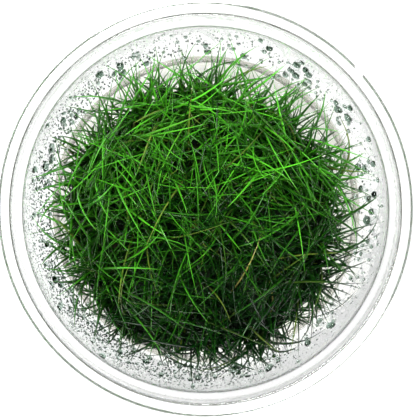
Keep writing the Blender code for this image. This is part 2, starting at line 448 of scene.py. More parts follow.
class CULTURECUP_OT_cup(bpy.types.Operator):
    """Build the clear plastic cup with its notched rim and foot ring"""

    bl_idname = "culturecup.cup"
    bl_label = "Cup"

    def execute(self, context):
        settings = context.scene.culture_cup
        points, faces = turned(cup_profile(), notched_azimuths(settings.facets))
        radius = np.hypot(points[:, 0], points[:, 1])
        azimuth = np.arctan2(points[:, 1], points[:, 0])
        least = RIM_RADIUS - NOTCH_DEPTH
        notched = (np.abs(azimuth - NOTCH_AZIMUTH) < NOTCH_HALF_ANGLE) & (radius > least)
        points[notched, :2] *= (least / radius[notched])[:, None]
        finishes = [cup_finish(settings)]
        piece = add_piece("clear_cup", points, faces, finishes, CUP_NODE, slot_name="clear_plastic")
        piece.data.set_sharp_from_angle(angle=CUP_SHARP)
        return {"FINISHED"}


# The gel

# How far the gel's skin reaches into the cup, so that no film of air shows
GEL_OVERLAP = 0.02 * MM
GEL_RINGS = np.arange(1.0, 38.5, 0.75) * MM
# The rise at the wall: how far in from the wall, and the share of the rise there
GEL_RISES = ((1.6 * MM, 0.0), (1.1 * MM, 0.10), (0.7 * MM, 0.27), (0.35 * MM, 0.55))
GEL_FACETS = 160
GEL_DENSITY = 25.0
GEL_SHARP = math.radians(60)


def gel_profile():
    """The gel's section: its top with a low rise at the wall, and its skin against the cup."""
    edge_radius, edge_z = wall_point(GEL_EDGE_Z, -GEL_OVERLAP)
    bottom = FLOOR_Z - GEL_OVERLAP
    top = [(0.0, GEL_LEVEL)]
    top += [(radius, GEL_LEVEL) for radius in GEL_RINGS]
    top += [(edge_radius - inward, GEL_LEVEL + rise * MENISCUS_RISE) for inward, rise in GEL_RISES]
    top.append((edge_radius, edge_z))
    return top + corner(-GEL_OVERLAP)[::-1] + [(FLOOR_RING, bottom), (0.0, bottom)]


def gel_finish(settings):
    """Clear gel: slightly cloudy, wet on top, with soft dimples."""
    finish = Finish("clear_culture_gel")
    cloud = finish.noise(3 * MM, detail=4.0, roughness=0.6)
    dimple = finish.noise(1.6 * MM)
    finish.set(
        Base_Color=finish.blend(cloud, colour(settings.gel_colour), WHITE),
        Roughness=0.02 + 0.08 * finish.between(cloud, 0.35, 0.8),
        IOR=1.34,
        Transmission_Weight=1.0,
        Normal=finish.bump(dimple, 0.12 * MM),
    )
    finish.absorb(settings.gel_colour, GEL_DENSITY)
    return finish


class GelSettings(bpy.types.PropertyGroup):
    gel_colour: colour_property(
        "Gel colour", "Colour of the gel in its depth", (0.93, 0.93, 0.84)
    )
    unevenness: bpy.props.FloatProperty(
        name="Unevenness",
        description="How far the gel's top rises and falls",
        default=0.12 * MM,
        min=0.0,
        max=0.5 * MM,
        unit="LENGTH",
    )


class CULTURECUP_OT_gel(bpy.types.Operator):
    """Pour the clear gel that the plants stand in"""

    bl_idname = "culturecup.gel"
    bl_label = "Gel"

    def execute(self, context):
        settings = context.scene.culture_gel
        azimuths = np.arange(GEL_FACETS) * math.tau / GEL_FACETS
        points, faces = turned(gel_profile(), azimuths)
        self.ruffle_top(points, settings.unevenness)
        self.vary_edge(points)
        finishes = [gel_finish(settings)]
        piece = add_piece("clear_gel", points, faces, finishes, GEL_NODE, slot_name="clear_gel")
        piece.data.set_sharp_from_angle(angle=GEL_SHARP)
        return {"FINISHED"}

    def ruffle_top(self, points, unevenness):
        """Ruffles the gel's top in waves a few millimetres long, mostly downwards."""
        level = np.isclose(points[:, 2], GEL_LEVEL)
        x, y = points[level, 0] / MM, points[level, 1] / MM
        wave = np.sin(0.7 * x + 1.3 * np.sin(0.4 * y))
        wave += np.sin(0.9 * y + 1.1 * np.sin(0.5 * x + 2.0))
        points[level, 2] += unevenness * 0.5 * (wave - 1.0)

    def vary_edge(self, points):
        """Lets the gel climb the wall higher in some places than in others."""
        edge = points[:, 2] > GEL_LEVEL + 0.1 * MENISCUS_RISE
        around = np.arctan2(points[edge, 1], points[edge, 0])
        climb = 0.85 + 0.1 * np.sin(3 * around + 1.0) + 0.05 * np.sin(7 * around + 2.0)
        lower = (points[edge, 2] - GEL_LEVEL) * (1 - climb)
        radius = np.hypot(points[edge, 0], points[edge, 1])
        points[edge, :2] *= (1 - lower * LEAN / radius)[:, None]
        points[edge, 2] -= lower


# The grass

LAWN_RADIUS = 34.3 * MM
LAWN_WIDEST = math.radians(245.0)
# Painted light: the blades are painted brighter towards this side of the lawn, as if the light fell
# more on them
PAINTED_LIT_SIDE = math.radians(110.0)

# The layers of a tuft's blades: the setting that holds their number, their lengths as shares of the
# longest, their leans at the foot and at the tip, how far from the crown they stand, the rings in a
# blade, its width against an average one, and how much of the full tone and twist it gets; the
# smaller tone of the lower layers is painted shade under the long blades
LAYERS = (
    ("blades", (0.45, 1.05), (0.05, 0.7), (0.5, 1.65), 8.5 * MM, 9, 1.0, 1.0),
    ("undergrowth", (0.2, 0.45), (0.5, 1.1), (0.7, 1.4), 9.0 * MM, 5, 1.2, 0.3),
    ("thatch", (0.15, 0.24), (1.0, 1.3), (1.2, 1.5), 8.5 * MM, 4, 2.0, 0.08),
)
TUFT_GROWTH = (0.85, 1.08)

# How far the blades turn from the way out of the lawn and bend aside: in its middle, and what its
# edge adds
HEADING_SCATTER, HEADING_AT_EDGE = 2.6, -0.8
CURL_SCATTER, CURL_AT_EDGE = 0.5, 0.6
LEAN_AT_EDGE = -0.1
LEAN_GROWTH = 1.2

# How a blade is drawn: how late it tapers to its tip, its foot and its thickness as shares of its
# width, how its width varies, how far it twists, and how deep its foot stands in the gel
TIP_TAPER = 3.6
BLADE_FOOT_SHARE = 0.75
BLADE_THICKNESS = 0.45
WIDTH_RANGE = (0.7, 1.25)
TWIST = 1.2
BLADE_DEPTH_IN_GEL = 0.6 * MM

# How bright the blades are: the shape of the random draw, the painted light that brightens the lawn
# towards its lit side, and at the lawn's rim the painted light that is added, the least that deep
# layers keep (their painted shade lifted there), and how much wider the blades are
TONE_DRAW = (0.42, 1.8)
PAINTED_LIT_SIDE_GAIN = 1.3
RIM_GAIN = 0.15
RIM_LEAST = 0.8
RIM_WIDER = 0.3

# Room that is left free at the wall and under the tufts' full height
WALL_GAP = 0.45 * MM
HEADROOM = 0.3 * MM

# Shares of blades that are ageing and dead, and the age of the ageing ones, from 0 to 1
AGEING, DEAD = 0.03, 0.003
AGEING_RANGE = (0.3, 0.5)

# The crown's middle is taken where it stands this high over the gel, give or take the second
CROWN_HEIGHT = 0.8 * MM
CROWN_SPAN = 0.9 * MM

# The mat round a crown: its reach, its height, and how far in its lower edge lies
MAT_REACH = 11.5 * MM
MAT_HEIGHT = 1.5 * MM
MAT_TUCK = 0.96
MAT_AROUND = 28
MAT_RINGS = 5

# The roots of a tuft: their number, rings, widths and reach aside in mm, and the most room
ROOTS = 16
ROOT_RINGS = 6
ROOT_WIDTHS = (0.18, 0.32)
ROOT_REACH = (0.5, 4.5)
ROOT_LIMIT = 36.0 * MM

# Steps between the seeds of the lawns, and from a tuft's blades to its mat and roots
LAWN_SEED_STEP = 1000
MAT_SEED_STEP = 500

# They keep divisions off zero
SLIGHT, SLIGHT_SIDE = 1e-12, 1e-9


def crown_place(node):
    """The middle of a tuft where it leaves the gel."""
    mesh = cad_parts[node].data
    points = np.empty(len(mesh.vertices) * 3)
    mesh.vertices.foreach_get("co", points)
    points = points.reshape(-1, 3)
    crown = points[np.abs(points[:, 2] - GEL_LEVEL - CROWN_HEIGHT) < CROWN_SPAN]
    return crown[:, :2].mean(axis=0)


def tuft_seed(node, settings):
    return settings.seed * LAWN_SEED_STEP + int(node.rsplit("_", 1)[1])


def keep_in_cup(spine):
    """Stands up the blades that would pass the wall, and lowers those that are too tall."""
    foot = spine[:, :1]
    rise = spine[..., 2] - foot[..., 2]
    room = TUFTS_TOP - HEADROOM - foot[:, :, 2]
    spine[..., 2] = foot[..., 2] + rise * np.minimum(1.0, room / rise.max(axis=1, keepdims=True))
    limit = wall_radius(spine[..., 2]) - WALL_GAP
    aside = spine[..., :2] - foot[..., :2]
    along = (aside * foot[..., :2]).sum(axis=2)
    square = (aside**2).sum(axis=2) + SLIGHT
    spare = limit**2 - (foot[..., :2] ** 2).sum(axis=2)
    share = (np.sqrt(along**2 + square * spare) - along) / square
    share[:, 0] = 1.0
    spine[..., :2] = foot[..., :2] + aside * np.minimum(1.0, share.min(axis=1))[:, None, None]
    return spine


def lawn_edge(azimuth):
    """How far from the cup's middle the blades stand in the direction azimuth."""
    return LAWN_RADIUS * (
        1
        + 0.11 * np.cos(azimuth - LAWN_WIDEST)
        + 0.015 * np.sin(3 * azimuth + 1.0)
        + 0.03 * np.sin(5 * azimuth - 0.52)
    )


def blade_spines(place, chance, count, length, first_lean, last_lean, spread, rings):
    """Middle lines of count blades, from the gel to their tips."""
    around = chance.uniform(0.0, math.tau, count)
    out = spread * np.sqrt(chance.random(count))
    start = place + out[:, None] * np.stack([np.cos(around), np.sin(around)], axis=1)
    outward = np.arctan2(start[:, 1], start[:, 0])
    lawn = lawn_edge(outward)
    far = np.hypot(start[:, 0], start[:, 1])
    start *= np.minimum(1.0, (2 * lawn - far) / far)[:, None]
    edge = (np.hypot(start[:, 0], start[:, 1]) / lawn) ** 2
    scatter = HEADING_SCATTER + HEADING_AT_EDGE * edge
    heading = outward + chance.normal(0.0, 1.0, count) * scatter
    curl = chance.normal(0.0, CURL_SCATTER, count) * (1 + CURL_AT_EDGE * edge)
    lean_from = chance.uniform(*first_lean, count) + LEAN_AT_EDGE * edge
    lean_to = chance.uniform(*last_lean, count)
    lengths = length[0] + (length[1] - length[0]) * chance.beta(1.3, 1.4, count)
    share = np.linspace(0.0, 1.0, rings + 1)
    middle = (share[1:] + share[:-1]) / 2
    lean = lean_from[:, None] + (lean_to - lean_from)[:, None] * middle**LEAN_GROWTH
    turn = heading[:, None] + curl[:, None] * middle
    way = [np.sin(lean) * np.cos(turn), np.sin(lean) * np.sin(turn), np.cos(lean)]
    move = np.stack(way, axis=2) * (lengths / rings)[:, None, None]
    foot_z = np.full((count, 1), GEL_LEVEL - BLADE_DEPTH_IN_GEL)
    foot = np.concatenate([start, foot_z], axis=1)
    path = np.concatenate([np.zeros((count, 1, 3)), np.cumsum(move, axis=1)], axis=1)
    return keep_in_cup(foot[:, None] + path)


def blade_mesh(spine, width, thickness, twist):
    """Points and faces of blades along their middle lines: four-sided, tapered and closed."""
    count, rings = spine.shape[0], spine.shape[1] - 1
    along = np.gradient(spine, axis=1)
    along /= np.linalg.norm(along, axis=2, keepdims=True) + SLIGHT
    side = np.cross(along, (0.0, 0.0, 1.0))
    side /= np.linalg.norm(side, axis=2, keepdims=True) + SLIGHT_SIDE
    face = np.cross(side, along)
    side, face = side[:, :rings], face[:, :rings]
    share = np.linspace(0.0, 1.0, rings + 1)[None, :rings]
    foot = BLADE_FOOT_SHARE + (1 - BLADE_FOOT_SHARE) * np.minimum(1.0, share * 4)
    taper = (1.0 - share**TIP_TAPER) * foot
    angle = (twist[:, None] * share)[..., None]
    wide = np.cos(angle) * side + np.sin(angle) * face
    deep = np.cos(angle) * face - np.sin(angle) * side
    wide = wide * (width[:, None] / 2 * taper)[..., None]
    deep = deep * (thickness[:, None] / 2 * taper)[..., None]
    core = spine[:, :rings]
    quad = np.stack([core + wide, core + deep, core - wide, core - deep], axis=2)
    points = np.concatenate([quad.reshape(count, rings * 4, 3), spine[:, rings:]], axis=1)
    size = rings * 4 + 1
    sides = np.concatenate([bands(rings, 4), [[0, 1, 2, 3]]])
    tips = fan(rings - 1, 4, rings * 4)
    return points.reshape(-1, 3), copies(sides, count, size) + copies(tips, count, size)


def blade_marks(spine, tone_and_painted_light, age):
    """What the finish reads at each point of blade_mesh: tone with its painted light and shade,
    place along the blade, and age.
    """
    count, rings = spine.shape[0], spine.shape[1] - 1
    mark = np.ones((count, rings * 4 + 1, 4))
    mark[..., 0] = tone_and_painted_light[:, None]
    mark[..., 1] = np.concatenate([np.repeat(np.arange(rings) / rings, 4), [1.0]])[None]
    mark[..., 2] = age[:, None]
    return mark.reshape(-1, 4)


def mat_mesh(place, chance):
    """Points and faces of the low mat of old leaves and runners round a crown, wavy at its edge."""
    turn = np.arange(MAT_AROUND) * math.tau / MAT_AROUND
    waves = chance.uniform(0.0, math.tau, 2)
    wavy = 1 + 0.12 * np.sin(2 * turn + waves[0]) + 0.08 * np.sin(5 * turn + waves[1])
    reach = MAT_REACH * wavy
    share = np.append(np.linspace(0.0, 1.0, MAT_RINGS + 1)[1:], MAT_TUCK)[:, None]
    x = place[0] + reach * share * np.cos(turn)
    y = place[1] + reach * share * np.sin(turn)
    pull = np.minimum(1.0, lawn_edge(np.arctan2(y, x)) / np.hypot(x, y))
    rise = MAT_HEIGHT * (1 - share**2) + 0.2 * MM + chance.uniform(-0.1, 0.3, x.shape) * MM
    rise[-1] = -0.5 * MM
    body = np.stack([x * pull, y * pull, GEL_LEVEL + rise], axis=2).reshape(-1, 3)
    ends = [(*place, GEL_LEVEL + 1.8 * MM), (*place, GEL_LEVEL - 0.5 * MM)]
    quads, caps = closed_faces(MAT_RINGS + 1, MAT_AROUND)
    return np.concatenate([body, ends]), quads.tolist() + caps.tolist()


def grass_finish(settings):
    """Living and dead blades: coloured by each blade's tone (with its painted light and shade) and
    age, and along its length by a painted shade towards the foot and a yellow tip, under a wet
    sheen.
    """
    finish = Finish("hairgrass_blades")
    blade = finish.add("ShaderNodeAttribute", {"attribute_name": "blade"})
    parts = finish.add("ShaderNodeSeparateColor", None, {0: blade})
    tone_and_painted_light, along, age = (Signal(finish, socket) for socket in parts.socket.node.outputs[:3])
    mottle = finish.noise(0.9 * MM, detail=4.0, roughness=0.65)
    grain = finish.noise(0.14 * MM)
    yellow = colour(settings.yellow_green)
    mixed = finish.clamp(tone_and_painted_light + 0.35 * (mottle - 0.5))
    green = finish.blend(mixed, colour(settings.deep_green), colour(settings.fresh_green))
    green = finish.blend(finish.between(age, 0.25, 0.5), green, yellow)
    green = finish.blend(finish.between(age, 0.6, 0.85), green, colour(settings.dead_tan))
    # Painted shade: the lower three quarters of each blade darkened towards its foot, where the
    # lawn shades it
    shade = finish.blend(finish.between(along, 0.0, 0.75), (0.06, 0.07, 0.05, 1.0), WHITE)
    tip = finish.between(along, 0.9, 1.0) * 0.35
    finish.set(
        Base_Color=finish.blend(tip, green * shade, yellow),
        Roughness=0.30 + 0.25 * mottle,
        IOR=1.45,
        Specular_IOR_Level=0.12,
        Coat_Weight=settings.wetness,
        Coat_Roughness=0.09,
        Coat_IOR=1.6,
        Subsurface_Weight=0.15,
        Subsurface_Radius=(0.3, 1.0, 0.1),
        Subsurface_Scale=0.4 * MM,
        Normal=finish.bump(grain, 0.006 * MM),
    )
    return finish


def mat_finish():
    """Old leaves matted together at the foot of the blades: dark and rough, painted near black as
    the shade deep in the lawn.
    """
    finish = Finish("matted_leaves")
    strand = finish.noise(0.5 * MM, detail=4.0, roughness=0.7)
    patch = finish.noise(3.0 * MM, detail=2.0)
    # Painted shade: these colours are near black so that the gaps between the blades look shaded;
    # the first is the darkest
    painted_gap_black, green, brown = (0.001, 0.004, 0.001), (0.006, 0.03, 0.004), (0.02, 0.018, 0.005)
    dark = finish.blend(finish.between(strand, 0.4, 0.7), colour(painted_gap_black), colour(green))
    finish.set(
        Base_Color=finish.blend(finish.between(patch, 0.55, 0.75), dark, colour(brown)),
        Roughness=0.55 + 0.3 * patch,
        Specular_IOR_Level=0.2,
        Normal=finish.bump(strand, 0.15 * MM),
    )
    return finish


def root_finish():
    """White roots, fuzzy and matt in the gel."""
    finish = Finish("white_roots")
    mottle = finish.noise(0.6 * MM)
    finish.set(
        Base_Color=finish.blend(mottle, (0.80, 0.78, 0.66, 1.0), (0.95, 0.94, 0.88, 1.0)),
        Roughness=0.5 + 0.2 * mottle,
        Normal=finish.bump(mottle, 0.03 * MM),
    )
    return finish


def root_spines(place, chance):
    """Middle lines of roots that wander down through the gel."""
    depth = GEL_LEVEL - GEL_BOTTOM_Z - 0.8 * MM
    heading = chance.uniform(0.0, math.tau, ROOTS)
    out = chance.uniform(*ROOT_REACH, ROOTS) * MM
    share = np.linspace(0.0, 1.0, ROOT_RINGS + 1)
    drop = -depth * chance.uniform(0.5, 1.0, ROOTS)[:, None] * share
    wander = out[:, None] * share + 0.4 * MM * np.sin(share * 9 + heading[:, None])
    x = place[0] + np.cos(heading)[:, None] * wander
    y = place[1] + np.sin(heading)[:, None] * wander
    spine = np.stack([x, y, GEL_LEVEL - 0.2 * MM + drop], axis=2)
    radius = np.hypot(spine[..., 0], spine[..., 1])
    spine[..., :2] *= np.minimum(1.0, ROOT_LIMIT / radius)[..., None]
    return spine


class GrassSettings(bpy.types.PropertyGroup):
    blades: bpy.props.IntProperty(
        name="Blades", description="Long blades in each tuft", default=85, min=10, max=400
    )
    undergrowth: bpy.props.IntProperty(
        name="Undergrowth", description="Short blades in each tuft", default=45, min=0, max=400
    )
    thatch: bpy.props.IntProperty(
        name="Thatch",
        description="Old leaves that lie on the gel in each tuft",
        default=20,
        min=0,
        max=400,
    )
    blade_width: bpy.props.FloatProperty(
        name="Blade width",
        description="Width of an average blade",
        default=0.52 * MM,
        min=0.1 * MM,
        max=2 * MM,
        unit="LENGTH",
    )
    longest: bpy.props.FloatProperty(
        name="Longest blade",
        description="Length of the longest blades",
        default=42 * MM,
        min=10 * MM,
        max=60 * MM,
        unit="LENGTH",
    )
    deep_green: colour_property(
        "Deep green", "Colour of the darkest blades", (0.001, 0.024, 0.001)
    )
    fresh_green: colour_property(
        "Fresh green", "Colour of the brightest blades", (0.10, 0.54, 0.02)
    )
    yellow_green: colour_property(
        "Yellow green", "Colour of ageing blades", (0.16, 0.24, 0.03)
    )
    dead_tan: colour_property(
        "Dead tan", "Colour of dead blades", (0.30, 0.27, 0.07)
    )
    wetness: bpy.props.FloatProperty(
        name="Wetness",
        description="How strong the wet sheen on the blades is",
        default=0.8,
        min=0.0,
        max=1.0,
        subtype="FACTOR",
    )
    seed: bpy.props.IntProperty(
        name="Seed", description="Another lawn for each number", default=7, min=0
    )


def tuft_blades(node, settings):
    """The layers of a tuft's blades: (middle lines, widths, thicknesses, tones with painted light
    and shade, ages, twists).
    """
    place = crown_place(node)
    chance = np.random.default_rng(tuft_seed(node, settings))
    grown = chance.uniform(*TUFT_GROWTH)
    made = []
    for number, length, first_lean, last_lean, spread, rings, size, depth in LAYERS:
        count = getattr(settings, number)
        span = tuple(share * grown * settings.longest for share in length)
        spine = blade_spines(place, chance, count, span, first_lean, last_lean, spread, rings)
        x, y = spine[:, 0, 0], spine[:, 0, 1]
        reach = np.hypot(x, y) / lawn_edge(np.arctan2(y, x))
        rim = np.clip(3 * reach - 2, 0.0, 1.0)
        width = settings.blade_width * size * chance.uniform(*WIDTH_RANGE, count)
        width *= 1 + RIM_WIDER * depth * rim
        # The tone is a random draw with painted light and shade: brighter towards the painted lit
        # side and at the rim, darker in the lower layers
        side = x * math.cos(PAINTED_LIT_SIDE) + y * math.sin(PAINTED_LIT_SIDE)
        tone_and_painted_light = chance.beta(*TONE_DRAW, count) + RIM_GAIN * rim
        tone_and_painted_light *= (1 + PAINTED_LIT_SIDE_GAIN * side / LAWN_RADIUS) * np.maximum(depth, RIM_LEAST * rim)
        age = np.where(chance.random(count) < AGEING, chance.uniform(*AGEING_RANGE, count), 0.0)
        age = np.where(chance.random(count) < DEAD, 1.0, age)
        twist = chance.normal(0.0, TWIST * min(1.0, 3 * depth), count)
        made.append((spine, width, width * BLADE_THICKNESS, tone_and_painted_light, age, twist))
    return made


class CULTURECUP_OT_grass(bpy.types.Operator):
    """Grow the tufts of hairgrass, each with its blades, its mat of old leaves and its roots"""

    bl_idname = "culturecup.grass"
    bl_label = "Grass"

    def execute(self, context):
        settings = context.scene.culture_grass
        finishes = [grass_finish(settings), root_finish(), mat_finish()]
        for node in TUFT_NODES:
            layers = self.tuft_layers(node, settings)
            points = np.concatenate([layer[0] for layer in layers])
            marks = np.concatenate([layer[2] for layer in layers])
            faces, kinds, start = [], [], 0
            for new_points, new_faces, _, kind in layers:
                faces += [[i + start for i in face] for face in new_faces]
                kinds += [kind] * len(new_faces)
                start += len(new_points)
            name = node.replace("tuft", "grass_tuft")
            piece = add_piece(
                name, points, faces, finishes, node, slot_name="grass_green", finish_of_face=kinds
            )
            blade = piece.data.color_attributes.new("blade", "FLOAT_COLOR", "POINT")
            blade.data.foreach_set("color", marks.ravel())
        return {"FINISHED"}

    def tuft_layers(self, node, settings):
        """The tuft's blades, mat and roots: a list of (points, faces, marks, which finish)."""
        layers = []
        for spine, width, thickness, tone_and_painted_light, age, twist in tuft_blades(node, settings):
            shape = blade_mesh(spine, width, thickness, twist)
            layers.append((*shape, blade_marks(spine, tone_and_painted_light, age), 0))
        place = crown_place(node)
        chance = np.random.default_rng(tuft_seed(node, settings) + MAT_SEED_STEP)
        points, faces = mat_mesh(place, chance)
        layers.append((points, faces, np.tile((0.0, 0.0, 0.0, 1.0), (len(points), 1)), 2))
        spine = root_spines(place, chance)
        width = chance.uniform(*ROOT_WIDTHS, ROOTS) * MM
        still = np.zeros(ROOTS)
        shape = blade_mesh(spine, width, width, still)
        layers.append((*shape, blade_marks(spine, still, still), 1))
        return layers


# The condensation

# Azimuth in degrees, how many drops for each degree, and the share of large ones
WET_PLACES = (
    (0, 4, 0.18),
    (45, 4, 0.20),
    (95, 7, 0.12),
    (135, 15, 0.035),
    (180, 30, 0.012),
    (225, 34, 0.012),
    (270, 26, 0.02),
    (310, 4, 0.05),
    (345, 3, 0.08),
    (360, 4, 0.18),
)
# How strongly a metre of water is tinted, in the mist and in large drops: painted refraction of the
# dark grass
MIST_DENSITY = 8000.0
DROP_DENSITY = 1300.0
# The wall is dry this far over the gel and under the shoulder
DRY_BELOW = 4.0 * MM
DRY_ABOVE = 0.5 * MM
# The large drops: how they spread up the wall and in size, and the least radius
LARGE_LEVELS = (1.2, 2.0)
LARGE_SIZES = (1.3, 2.4)
LARGE_LEAST = 0.25 * MM
# The small ones: how they spread up the wall, their radii in mm (the least, the range, and what low
# ones add to it) and the radius under which they are mist
SMALL_LEVELS = (1.2, 1.0)
SMALL_RADII = (0.09, 0.07, 0.22)
MIST_RADIUS = 0.2 * MM
# How far a drop stands out from the wall, and its room above and below, as shares of its radius
DROP_RISE = (1.1, 1.4)
DROP_ROOM = 1.4

# A drop on the wall: how far it tucks in at its foot, how deep that lies in the wall, and the waves
# in its outline with their largest share
FOOT_ANGLE = math.radians(-25.0)
FOOT_DEPTH = 0.03 * MM
LOBES = ((2, 0.16), (3, 0.08))

# A drop on a tip: how far out the tip is, the share of such tips, the radii in mm, the room at the
# wall, and its facets
TIP_FAR = 36 * MM
TIP_SHARE = 0.25
TIP_RADII = (0.25, 0.6)
TIP_GAP = 0.05 * MM
BALL_AROUND = 10
BALL_RINGS = 6


def drop_finish(name, settings, density):
    """Clear water with a trace of ripple, tinted in its depth as painted refraction of the dark
    grass seen through it.
    """
    finish = Finish(name)
    ripple = finish.noise(0.8 * MM, detail=2.0)
    finish.set(
        Base_Color=WHITE,
        Roughness=0.01 + 0.03 * ripple,
        IOR=1.33,
        Transmission_Weight=1.0,
        Normal=finish.bump(ripple, 0.01 * MM),
    )
    finish.absorb(settings.painted_grass_tint, density)
    return finish


def domes(azimuth, height, radius, rise, chance, corners, rings):
    """Points and faces of closed domes of water on the inner wall."""
    count = len(azimuth)
    reach = wall_radius(height) - FOOT_DEPTH
    across, up_share = -math.cos(DRAFT), np.full(count, math.sin(DRAFT))
    inward = np.stack([across * np.cos(azimuth), across * np.sin(azimuth), up_share], axis=1)
    side = np.stack([-np.sin(azimuth), np.cos(azimuth), np.zeros(count)], axis=1)
    up = np.cross(inward, side)
    up *= np.sign(up[:, 2])[:, None]
    foot = np.stack([reach * np.cos(azimuth), reach * np.sin(azimuth), height], axis=1)
    turn = np.arange(corners) * math.tau / corners
    lobes = np.ones((count, corners))
    for waves, largest in LOBES:
        size = chance.uniform(0.0, largest, (count, 1))
        lobes += size * np.sin(waves * turn[None] + chance.uniform(0, math.tau, (count, 1)))
    steps = FOOT_ANGLE + np.arange(rings) / rings * (math.pi / 2 - FOOT_ANGLE)
    high = (np.sin(steps) - math.sin(FOOT_ANGLE)) / (1 - math.sin(FOOT_ANGLE))
    flat = radius[:, None, None] * np.cos(steps)[None, :, None] * lobes[:, None, :]
    tall = rise[:, None, None] * high[None, :, None] * np.ones(corners)
    body = (
        foot[:, None, None]
        + side[:, None, None] * (flat * np.cos(turn))[..., None]
        + up[:, None, None] * (flat * np.sin(turn))[..., None]
        + inward[:, None, None] * tall[..., None]
    )
    apex = foot + inward * rise[:, None]
    points = np.concatenate([body.reshape(count, -1, 3), apex[:, None]], axis=1)
    size = rings * corners + 1
    faces = copies(bands(rings, corners), count, size)
    faces += copies(fan(rings - 1, corners, size - 1), count, size)
    faces += copies(np.arange(corners)[None], count, size)
    return points.reshape(-1, 3), faces


def balls(places, radius):
    """Points and faces of small round drops."""
    turn = np.arange(BALL_AROUND) * math.tau / BALL_AROUND
    fall = np.arange(1, BALL_RINGS) * math.pi / BALL_RINGS
    x = np.outer(np.sin(fall), np.cos(turn)).ravel()
    y = np.outer(np.sin(fall), np.sin(turn)).ravel()
    z = np.repeat(np.cos(fall), BALL_AROUND)
    unit = np.concatenate([np.stack([x, y, z], axis=1), [(0, 0, 1.0), (0, 0, -1.0)]])
    points = places[:, None] + unit[None] * radius[:, None, None]
    quads, caps = closed_faces(BALL_RINGS - 1, BALL_AROUND)
    count, size = len(places), len(unit)
    return points.reshape(-1, 3), copies(quads, count, size) + copies(caps, count, size)


class DropSettings(bpy.types.PropertyGroup):
    amount: bpy.props.FloatProperty(
        name="Amount",
        description="How many drops there are, as a share of the usual number",
        default=1.0,
        min=0.0,
        max=2.0,
    )
    largest: bpy.props.FloatProperty(
        name="Largest drop",
        description="Radius of the largest drops on the wall",
        default=1.0 * MM,
        min=0.2 * MM,
        max=3 * MM,
        unit="LENGTH",
    )
    # Painted refraction: the water is tinted so that the drops look dark green, as the grass seen
    # through them does
    painted_grass_tint: colour_property(
        "Depth tint",
        "Colour that thick drops take on from the grass behind them",
        (0.20, 0.36, 0.26),
    )
    drop_seed: bpy.props.IntProperty(
        name="Seed", description="Other drops for each number", default=5, min=0
    )


class CULTURECUP_OT_drops(bpy.types.Operator):
    """Condense water on the wall above the gel, and hang drops on some of the blades"""

    bl_idname = "culturecup.drops"
    bl_label = "Drops"

    def execute(self, context):
        settings = context.scene.culture_drops
        mist = drop_finish("water_mist", settings, MIST_DENSITY)
        water = drop_finish("water_drops", settings, DROP_DENSITY)
        chance = np.random.default_rng(settings.drop_seed)
        azimuth, large = self.wet_azimuths(settings, chance)
        count = len(azimuth)
        high_up = (chance.beta(*LARGE_LEVELS, count), chance.beta(*SMALL_LEVELS, count))
        level = np.where(large, *high_up)
        least, spread, lower = SMALL_RADII
        large_radius = settings.largest * chance.beta(*LARGE_SIZES, count) + LARGE_LEAST
        small_radius = (least + (spread + lower * (1 - level)) * chance.random(count)) * MM
        radius = np.where(large, large_radius, small_radius)
        rise = radius * chance.uniform(*DROP_RISE, count)
        low, high = GEL_EDGE_Z + DRY_BELOW, SHOULDER_Z - DRY_ABOVE
        height = low + (high - low) * level
        height = np.clip(height, low + DROP_ROOM * radius, high - DROP_ROOM * radius)
        fine = ~large & (radius < MIST_RADIUS)
        layers = (
            ("wall_mist", fine, 6, 2, mist),
            ("wall_beads", ~large & ~fine, 8, 3, mist),
            ("wall_drops", large, 14, 5, water),
        )
        for name, chosen, corners, rings, finish in layers:
            sizes = (azimuth[chosen], height[chosen], radius[chosen], rise[chosen])
            points, faces = domes(*sizes, chance, corners, rings)
            add_piece(name, points, faces, [finish], slot_name="water_drops")
        self.hang_drops(context.scene.culture_grass, chance, water)
        return {"FINISHED"}

    def wet_azimuths(self, settings, chance):
        """Where the drops on the wall stand round the cup, and which of them are large."""
        at, painted_gap_black, large = np.array(WET_PLACES, dtype=float).T
        degrees = np.arange(0.0, 360.0, 1.0)
        number = chance.poisson(np.interp(degrees, at, painted_gap_black) * settings.amount)
        azimuth = np.radians(np.repeat(degrees, number) + chance.random(number.sum()))
        share = np.interp(np.degrees(azimuth) % 360, at, large)
        return azimuth, chance.random(len(azimuth)) < share

    def hang_drops(self, grass, chance, finish):
        """Round drops on the tips of blades that end near the wall."""
        tips = np.concatenate([tuft_blades(node, grass)[0][0][:, -1] for node in TUFT_NODES])
        tips = tips[np.hypot(tips[:, 0], tips[:, 1]) > TIP_FAR]
        tips = tips[chance.random(len(tips)) < TIP_SHARE]
        radius = chance.uniform(*TIP_RADII, len(tips)) * MM
        far = np.hypot(tips[:, 0], tips[:, 1])
        limit = wall_radius(tips[:, 2]) - radius - TIP_GAP
        tips[:, :2] *= np.minimum(1.0, limit / far)[:, None]
        points, faces = balls(tips, radius)
        add_piece("tip_drops", points, faces, [finish], slot_name="water_drops")


# The stage

FLOOR_HALF = 15.0
# How far the cup's foot stands in the floor
FLOOR_LIFT = 0.02 * MM
FLOOR_COLOUR = (0.40, 0.40, 0.40, 1.0)
# How bright the sky is, from the horizon at 0 to straight above at 1
SKY_STOPS = ((0.0, 1.0), (0.30, 0.35), (0.88, 0.35), (0.96, 0.09))
LIGHT_WIDTH = 0.60
KEY_PLACE = (-0.25, 0.35, 0.90)
SIDE_PLACE = (0.15, -0.80, 0.75)
CAMERA_ASIDE = (0.0006, -0.00007)
CAMERA_CLIP = 0.01
# Enough for the light to pass rim, wall, gel and drops
BOUNCES = 64


